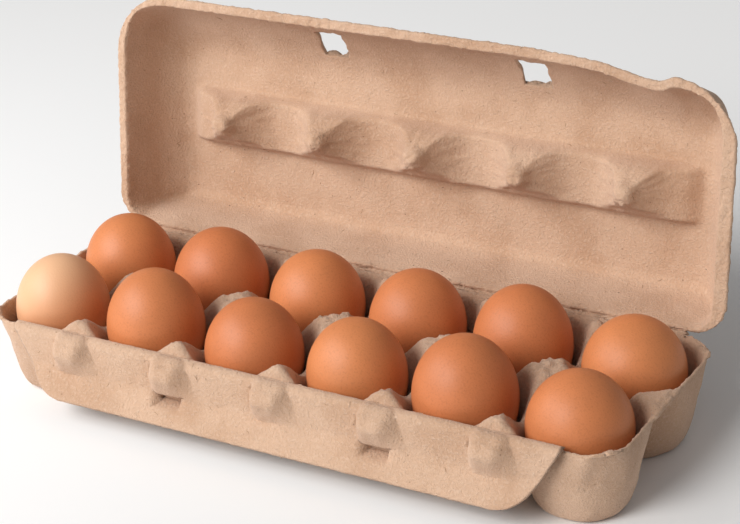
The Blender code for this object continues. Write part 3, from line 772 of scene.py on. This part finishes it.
def flap_points(u, s):
    """Points of the flap's outer face from its lip on the tray, over the fold, to its free edge."""
    fixed = POST_X[-1] - FLAP_STILL
    x = u * FLAP_EDGE
    share = (np.abs(x) - fixed) / (FLAP_EDGE - fixed)
    x = np.where(share > 0, np.sign(x) * (fixed + share * (flap_half(s) - fixed)), x)
    near = POST_X[np.abs(x[..., None] - POST_X).argmin(-1)]
    aside = np.abs(x - near)
    rise = WEDGE_RISE * np.interp(s / MM, *WEDGE_CURVE)
    to_right = x > near
    foot = np.where(to_right, np.interp(s / MM, WEDGE_ENDS, RIGHT_FOOT),
                    np.interp(s / MM, WEDGE_ENDS, LEFT_FOOT)) * MM
    crest = np.where(to_right, np.interp(s / MM, WEDGE_ENDS, RIGHT_CREST), LEFT_CREST) * MM
    out = rise * np.clip(1 - (aside - crest) / (foot - crest), 0, 1)
    button = np.minimum(np.abs(x - POST_X[1]), np.abs(x - POST_X[-2]))
    dip = np.interp(s / MM, *BUTTON_CURVE)
    out = out - BUTTON_DEPTH * dip * (1 - ramp(*BUTTON_SIDE, button))
    turn = FLAP_HANG + FLAP_BEND * ramp(FLAP_UPPER - BEND_HALF, FLAP_UPPER + BEND_HALF, s)
    bend = ramp(*FOLD_SPAN, s)
    angle = (math.pi / 2) * (1 - bend) + turn * bend
    step = np.diff(s, axis=0, prepend=s[:1])
    y = np.cumsum(-np.sin(angle) * step, axis=0)
    z = np.cumsum(-np.cos(angle) * step, axis=0)
    y = FOLD_Y - s[:1] + y - SKIN
    z = z + RIM_HEIGHT + SKIN - LIP_DIP * ramp(-1.3 * MM, -FLAP_LIP, s)
    return np.stack((x, y - out * np.cos(angle), z + out * np.sin(angle)), -1)


def flap_lumps(points, normals):
    """Fine lumps all over, and torn ones along the fold."""
    sizes = bpy.context.scene.carton_sizes
    fine = lumpy(points, 3.2 * MM, 1.5 * MM, 0.6, 11)
    coarse = grain(points, 2.4 * MM, 13)
    down = FOLD_Z - points[:, 2]
    fold = ramp(-1.0 * MM, 0.5 * MM, down) * (1 - ramp(1.5 * MM, 3.5 * MM, down))
    return sizes.fuzz * fine + 0.5 * sizes.rim_fuzz * coarse * fold


class CARTON_OT_flap(bpy.types.Operator):
    """Make the front locking flap, its wedges and lock buttons, and the crease that carries it"""
    bl_idname = "carton.flap"
    bl_label = "Front flap"

    def execute(self, context):
        pitch = context.scene.carton_sizes.grid
        xs = spaced(-FLAP_EDGE, FLAP_EDGE, pitch) / FLAP_EDGE
        ss = spaced(-FLAP_LIP, FLAP_UPPER + FLAP_LOWER, 0.8 * pitch,
                    ((-FLAP_LIP, 4 * MM, 0.35 * pitch), (13 * MM, 20 * MM, 0.4 * pitch)))
        outer = flap_points(*np.meshgrid(xs, ss))
        mesh = shell("flap_shell", outer, -PULP)
        mesh.flip_normals()
        roughen(mesh, flap_lumps)
        flap = pulp_piece("flap_shell", mesh, "front_flap")
        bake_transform(flap)
        return {"FINISHED"}


# ---- eggs ------------------------------------------------------------------------------------------
def egg_tree():
    """Node tree that turns a ball into an egg standing on its pointed end."""
    tree = bpy.data.node_groups.new("egg_form", "GeometryNodeTree")
    face = tree.interface
    for name, kind in (("Diameter", "Float"), ("Height", "Float"), ("Blunt share", "Float"),
                       ("Slim", "Float"), ("Shell", "Material")):
        face.new_socket(name=name, in_out="INPUT", socket_type="NodeSocket" + kind)
    face.new_socket(name="Geometry", in_out="OUTPUT", socket_type="NodeSocketGeometry")
    given = tree.nodes.new("NodeGroupInput").outputs
    ball = add_node(tree, "GeometryNodeMeshUVSphere", Segments=72, Rings=48, Radius=1.0)
    place = tree.nodes.new("GeometryNodeInputPosition").outputs[0]
    split = add_node(tree, "ShaderNodeSeparateXYZ", Vector=place).outputs

    def calc(kind, a, b=0.0):
        return add_node(tree, "ShaderNodeMath", {"operation": kind}, i0=a, i1=b).outputs[0]

    low = calc("MULTIPLY", calc("MINIMUM", split[2], 0.0), -1.0)
    slim = calc("SUBTRACT", 1.0, calc("MULTIPLY", calc("MULTIPLY", low, low), given["Slim"]))
    across = calc("MULTIPLY", calc("MULTIPLY", given["Diameter"], 0.5), slim)
    blunt = calc("MULTIPLY", given["Height"], given["Blunt share"])
    point = calc("SUBTRACT", given["Height"], blunt)
    up = calc("MULTIPLY", calc("MAXIMUM", split[2], 0.0), blunt)
    down = calc("MULTIPLY", low, point)
    moved = add_node(tree, "ShaderNodeCombineXYZ", X=calc("MULTIPLY", split[0], across),
                     Y=calc("MULTIPLY", split[1], across),
                     Z=calc("ADD", point, calc("SUBTRACT", up, down)))
    form = add_node(tree, "GeometryNodeSetPosition", Geometry=ball.outputs[0],
                    Position=moved.outputs[0])
    smooth = add_node(tree, "GeometryNodeSetShadeSmooth", Geometry=form.outputs[0])
    solid = add_node(tree, "GeometryNodeRealizeInstances", Geometry=smooth.outputs[0])
    painted = add_node(tree, "GeometryNodeSetMaterial", Geometry=solid.outputs[0],
                       Material=given["Shell"])
    out = tree.nodes.new("NodeGroupOutput")
    tree.links.new(painted.outputs[0], out.inputs[0])
    return tree


def set_inputs(modifier, **values):
    """Set a node modifier's inputs by their sockets' identifiers."""
    names = {item.name: item.identifier for item in modifier.node_group.interface.items_tree
             if item.item_type == "SOCKET" and item.in_out == "INPUT"}
    for name, value in values.items():
        modifier[names[name.replace("_", " ")]] = value


def fibre_tree():
    """Node tree that strews short bent fibres over a mesh and leaves only the fibres."""
    tree = bpy.data.node_groups.new("loose_fibres", "GeometryNodeTree")
    face = tree.interface
    for name, kind in (("Geometry", "Geometry"), ("Count", "Int"), ("Length", "Float"),
                       ("Seed", "Int"), ("Fibre", "Material")):
        face.new_socket(name=name, in_out="INPUT", socket_type="NodeSocket" + kind)
    face.new_socket(name="Geometry", in_out="OUTPUT", socket_type="NodeSocketGeometry")
    given = tree.nodes.new("NodeGroupInput").outputs
    spread = add_node(tree, "GeometryNodeDistributePointsOnFaces", Mesh=given["Geometry"],
                      Density=1.0, Seed=given["Seed"])
    area = add_node(tree, "GeometryNodeAttributeStatistic", {"domain": "FACE"},
                    Geometry=given["Geometry"],
                    i2=tree.nodes.new("GeometryNodeInputMeshFaceArea").outputs[0])
    density = add_node(tree, "ShaderNodeMath", {"operation": "DIVIDE"}, i0=given["Count"],
                       i1=area.outputs["Sum"])
    tree.links.new(density.outputs[0], spread.inputs["Density"])
    strand = add_node(tree, "GeometryNodeCurveQuadraticBezier", Resolution=5, Start=(-0.5, 0, 0),
                      Middle=(0.05, 0.3, 0.05), End=(0.5, 0, 0.03))
    thread = add_node(tree, "GeometryNodeCurvePrimitiveCircle", Resolution=5, Radius=0.035)
    fibre = add_node(tree, "GeometryNodeCurveToMesh", Curve=strand.outputs[0],
                     i1=thread.outputs["Curve"])
    spin = add_node(tree, "FunctionNodeRandomValue", {"data_type": "FLOAT"}, i2=0.0, i3=6.28,
                    Seed=given["Seed"])
    turn = add_node(tree, "ShaderNodeCombineXYZ", Z=spin.outputs[1])
    turned = add_node(tree, "FunctionNodeRotateEuler", {"rotation_type": "EULER", "space": "LOCAL"},
                      Rotation=spread.outputs["Rotation"], Rotate_By=turn.outputs[0])
    share = add_node(tree, "FunctionNodeRandomValue", {"data_type": "FLOAT"}, i2=0.45, i3=1.3,
                     Seed=given["Seed"])
    size = add_node(tree, "ShaderNodeMath", {"operation": "MULTIPLY"}, i0=share.outputs[1],
                    i1=given["Length"])
    strewn = add_node(tree, "GeometryNodeInstanceOnPoints", Points=spread.outputs["Points"],
                      Instance=fibre.outputs[0], Rotation=turned.outputs[0], Scale=size.outputs[0])
    solid = add_node(tree, "GeometryNodeRealizeInstances", Geometry=strewn.outputs[0])
    painted = add_node(tree, "GeometryNodeSetMaterial", Geometry=solid.outputs[0],
                       Material=given["Fibre"])
    out = tree.nodes.new("NodeGroupOutput")
    tree.links.new(painted.outputs[0], out.inputs[0])
    return tree


FLAP_FIBRES = 0.45       # share of the fibre count that the smaller flap gets


class CARTON_OT_fibres(bpy.types.Operator):
    """Strew loose fibres over the three pulp shells"""
    bl_idname = "carton.fibres"
    bl_label = "Loose fibres"

    def execute(self, context):
        sizes = context.scene.carton_sizes
        tree = fibre_tree()
        pieces = (("tray", "tray"), ("lid", "lid"), ("flap", "front_flap"))
        for seed, (body, node) in enumerate(pieces, 1):
            mesh = bpy.data.objects[f"{body}_shell"].data.copy()
            fibres = linked(f"{body}_fibres", mesh)
            modifier = fibres.modifiers.new("fibres", "NODES")
            modifier.node_group = tree
            share = FLAP_FIBRES if body == "flap" else 1.0
            set_inputs(modifier, Count=int(sizes.fibres * share), Length=sizes.fibre_length, Seed=seed,
                       Fibre=bpy.data.materials["loose_pulp_fibre"])
            fibres.data = settled(fibres)
            bpy.data.meshes.remove(mesh)
            fibres.data.shade_smooth()
            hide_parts(node)
            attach(fibres, body)
        return {"FINISHED"}


SHADE_SPREAD = 0.05      # eggs' shades, either side of the middle one
EGG_SLIM = 0.10          # narrowing of an egg's pointed end
EGG_FILL = 0.6 * MM      # a many-sided solid's flats, made up to the egg's round


class CARTON_OT_eggs(bpy.types.Operator):
    """Turn the twelve brown eggs, each to its own size and shade"""
    bl_idname = "carton.eggs"
    bl_label = "Eggs"

    def execute(self, context):
        tree = egg_tree()
        for number, name in enumerate(EGG_NAMES):
            low, high = EGG_BOXES[name]
            shade = 1.0 + SHADE_SPREAD * math.sin(number * 2.4 + 0.6)
            material = shell_material(f"brown_eggshell_{number + 1}", name == "egg_front_1",
                                      (shade, shade ** 2, shade ** 2))
            egg = linked(f"{name}_shell", bpy.data.meshes.new(name))
            modifier = egg.modifiers.new("form", "NODES")
            modifier.node_group = tree
            set_inputs(modifier, Diameter=high[0] - low[0] + EGG_FILL, Height=high[2] - low[2],
                       Blunt_share=context.scene.carton_sizes.blunt_share, Slim=EGG_SLIM,
                       Shell=material)
            mesh = settled(egg)
            mesh.transform(Matrix.Translation(((low[0] + high[0]) / 2, (low[1] + high[1]) / 2, low[2])))
            mesh.name = f"{name}_shell"
            egg.data = mesh
            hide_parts(name)
            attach(egg, name)
        return {"FINISHED"}


# ---- stage -----------------------------------------------------------------------------------------
def key_light(azimuth, elevation, softness, strength, colour):
    """A far, broad studio light; softness is the angle it fills."""
    lamp = bpy.data.lights.new("key", "SUN")
    lamp.angle, lamp.energy, lamp.color = math.radians(softness), strength, colour
    obj = linked("key", lamp)
    obj.rotation_euler = from_angles(azimuth, elevation).to_track_quat("Z", "Y").to_euler()


def from_angles(azimuth, elevation):
    """Unit vector towards a place this far round to the right of the front, and this high."""
    a, e = math.radians(azimuth), math.radians(elevation)
    return Vector((math.sin(a) * math.cos(e), -math.cos(a) * math.cos(e), math.sin(e)))


def side_light(aim, azimuth, elevation, distance, size, power):
    """A soft box near one end, so that the light falls off along the carton."""
    lamp = bpy.data.lights.new("side", "AREA")
    lamp.size, lamp.energy = size, power
    obj = linked("side", lamp)
    back = from_angles(azimuth, elevation)
    obj.location = Vector(aim) + back * distance
    obj.rotation_euler = back.to_track_quat("Z", "Y").to_euler()


FLOOR_SIZE = 6.0
AMBIENT = 0.27                              # even light from the white room
AIM = (-16.4 * MM, CENTRE_Y + 55.4 * MM, 38.0 * MM)
VIEW_ANGLES = (32.5, 25.78)                 # camera, round to the right and up
VIEW_DISTANCE, VIEW_ROLL = 0.9784, -4.26    # metres and degrees
LENS, SENSOR = 110.2, 36.0                  # millimetres


class CARTON_OT_stage(bpy.types.Operator):
    """Set the pale floor, the soft lights and the camera"""
    bl_idname = "carton.stage"
    bl_label = "Stage"

    def execute(self, context):
        scene = context.scene
        bm = bmesh.new()
        bmesh.ops.create_grid(bm, x_segments=2, y_segments=2, size=FLOOR_SIZE)
        mesh = bpy.data.meshes.new("floor")
        bm.to_mesh(mesh)
        bm.free()
        floor = linked("floor", mesh)
        paper, tree, shader, at = new_material("white_backdrop_paper")
        shader.inputs["Base Color"].default_value = (0.93, 0.93, 0.93, 1.0)
        shader.inputs["Roughness"].default_value = 0.9
        mesh.materials.append(paper)

        world = bpy.data.worlds.new("studio")
        world.use_nodes = True
        room = world.node_tree.nodes["Background"].inputs
        room["Color"].default_value = (1.0, 1.0, 1.0, 1.0)
        room["Strength"].default_value = AMBIENT
        scene.world = world
        key_light(-22, 36, 34, 2.3, (1.0, 0.99, 0.975))
        side_light((-0.15, 0.0, 0.05), -48, 40, 0.6, 0.4, 2.3)
        scene.view_settings.view_transform = "Standard"

        camera = linked("camera", bpy.data.cameras.new("camera"))
        back = from_angles(*VIEW_ANGLES)
        right = Vector((0, 0, 1)).cross(back).normalized()
        up = back.cross(right)
        roll = math.radians(VIEW_ROLL)
        across = right * math.cos(roll) + up * math.sin(roll)
        upward = up * math.cos(roll) - right * math.sin(roll)
        camera.matrix_world = Matrix((across, upward, back)).transposed().to_4x4()
        camera.location = Vector(AIM) + back * VIEW_DISTANCE
        camera.data.lens, camera.data.sensor_width = LENS, SENSOR
        scene.camera = camera
        return {"FINISHED"}


class CARTON_PT_panel(bpy.types.Panel):
    """The carton's sizes, colours and operators, in the sidebar"""
    bl_idname = "CARTON_PT_panel"
    bl_label = "Egg Carton"
    bl_space_type = "VIEW_3D"
    bl_region_type = "UI"
    bl_category = "Egg Carton"

    def draw(self, context):
        for group in (context.scene.carton_sizes, context.scene.carton_colours):
            for name in group.__annotations__:
                self.layout.prop(group, name)
        for operator in OPERATORS:
            self.layout.operator(operator.bl_idname)


OPERATORS = (CARTON_OT_tray, CARTON_OT_lid, CARTON_OT_flap, CARTON_OT_fibres, CARTON_OT_eggs,
             CARTON_OT_stage)
CLASSES = (CartonSizes, CartonColours, *OPERATORS, CARTON_PT_panel)


def register():
    """Register the classes and hang the settings on the scene."""
    for item in CLASSES:
        bpy.utils.register_class(item)
    bpy.types.Scene.carton_sizes = PointerProperty(type=CartonSizes)
    bpy.types.Scene.carton_colours = PointerProperty(type=CartonColours)


def unregister():
    """Take back what register did."""
    del bpy.types.Scene.carton_colours
    del bpy.types.Scene.carton_sizes
    for item in reversed(CLASSES):
        bpy.utils.unregister_class(item)


def main():
    """Register the settings, then make the materials, the pieces and the stage."""
    register()
    pulp_material()
    fibre_material()
    bpy.ops.carton.tray()
    bpy.ops.carton.lid()
    bpy.ops.carton.flap()
    bpy.ops.carton.fibres()
    bpy.ops.carton.eggs()
    bpy.ops.carton.stage()


if __name__ == "__main__":
    main()
